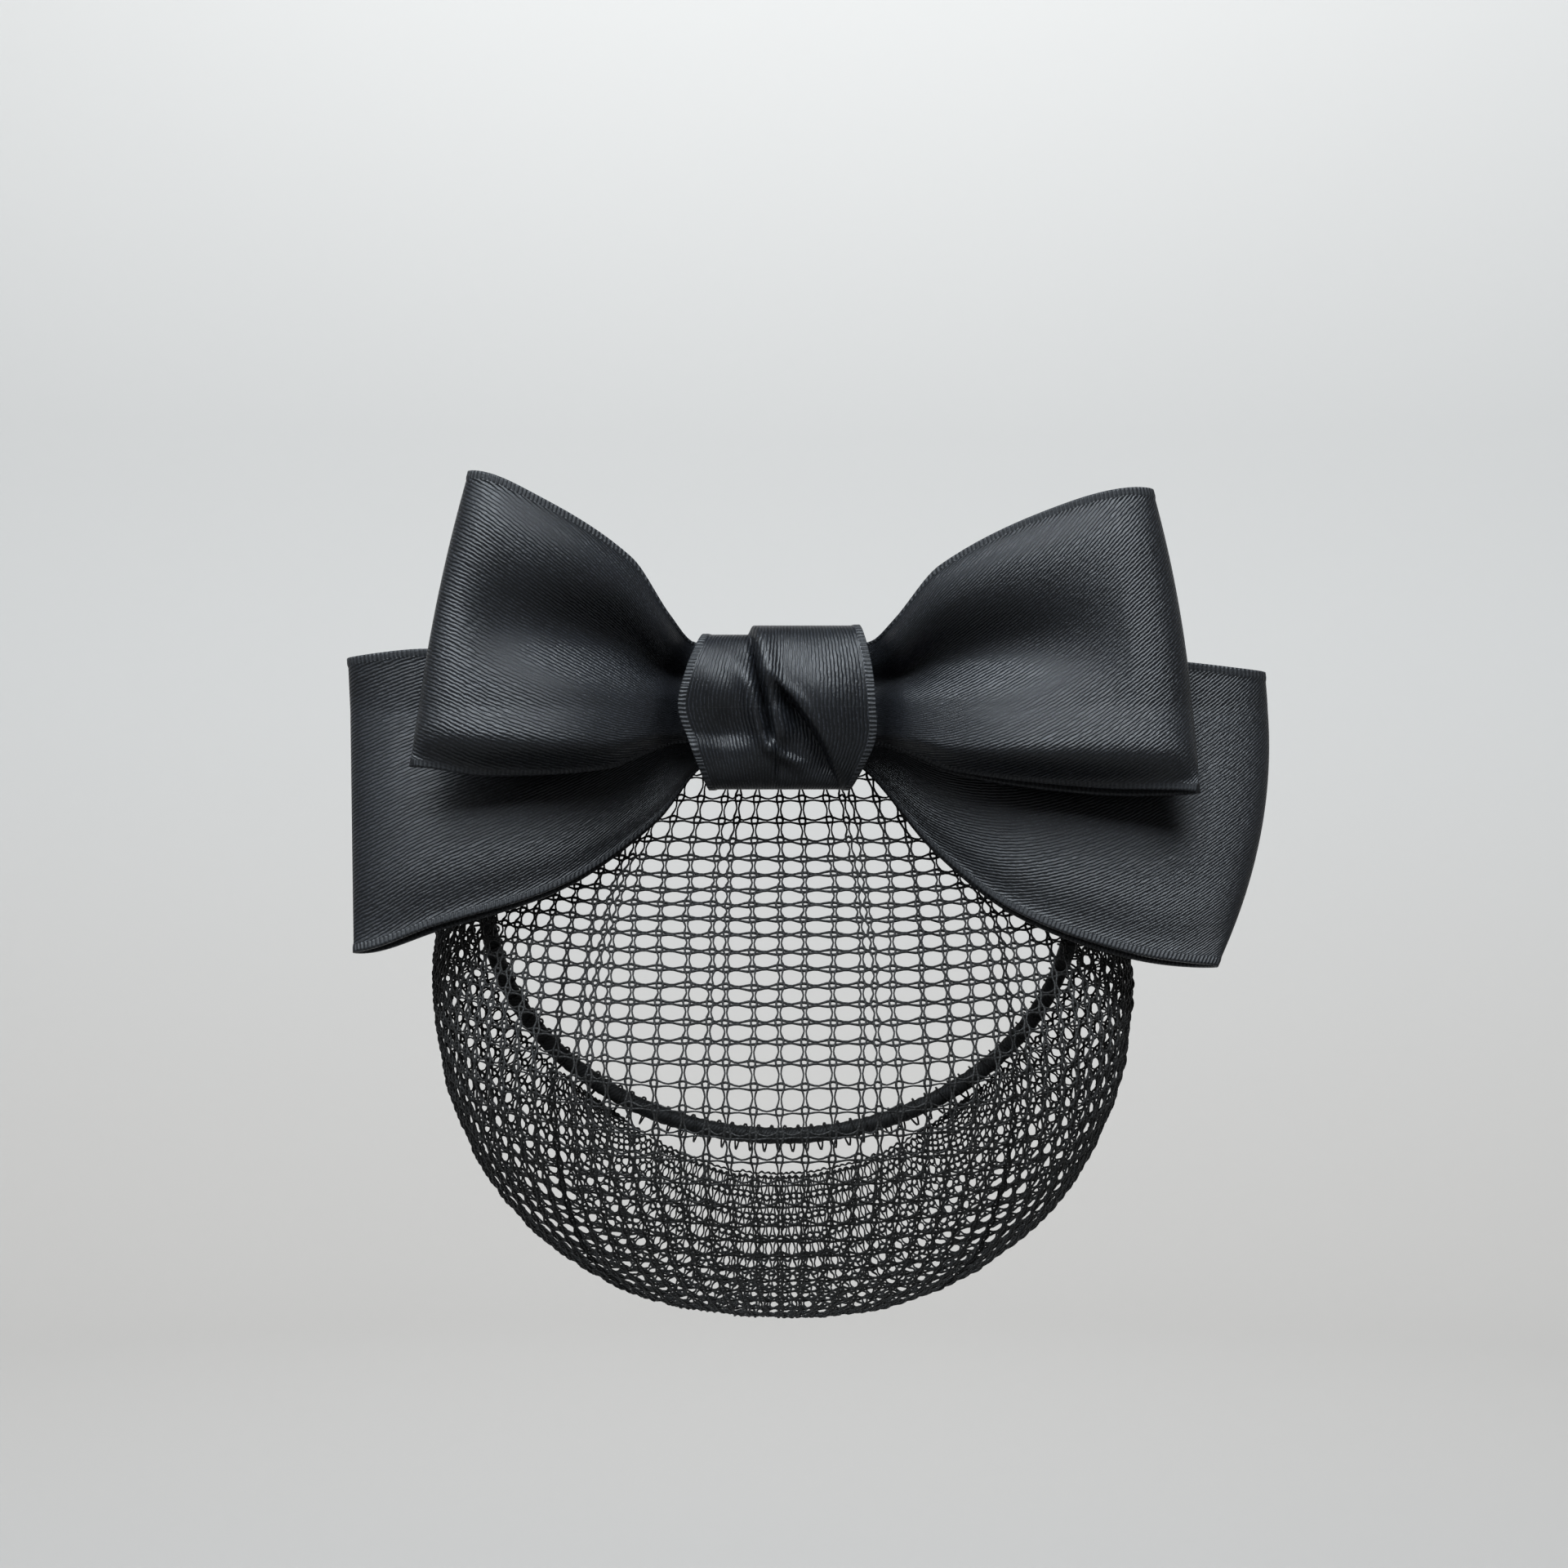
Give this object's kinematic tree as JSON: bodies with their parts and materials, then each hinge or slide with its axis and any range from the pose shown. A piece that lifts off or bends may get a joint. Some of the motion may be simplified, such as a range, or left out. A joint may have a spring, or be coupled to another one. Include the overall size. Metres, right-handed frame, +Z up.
{
  "type": "bun net on a bow hair clip",
  "caption": "Black knotted bun net hanging from a double satin ribbon bow with a wrapped knot, on a flat hair clip, net pouch open to the back.",
  "frame": {"origin": "middle of the clip's gap, where the gathered hair is held", "axes": "+X along the clip and the bow to the viewer's right, +Y towards the head, +Z up; the bow faces -Y"},
  "size_m": [0.1228, 0.0524, 0.111],
  "materials": {
    "satin_ribbon": "black polyester satin ribbon, fine twill, soft sheen",
    "clip_steel": "plain spring steel, lightly brushed",
    "net_yarn": "black knitted net of fine twisted yarn, matt",
    "elastic_cord": "black braided elastic cord, matt"
  },
  "bodies": {
    "root": {"upper_bow": "satin_ribbon", "lower_bow": "satin_ribbon", "knot_wrap": "satin_ribbon", "hair_clip": "clip_steel", "net_bag": "net_yarn", "mouth_elastic": "elastic_cord"}
  },
  "joints": []
}
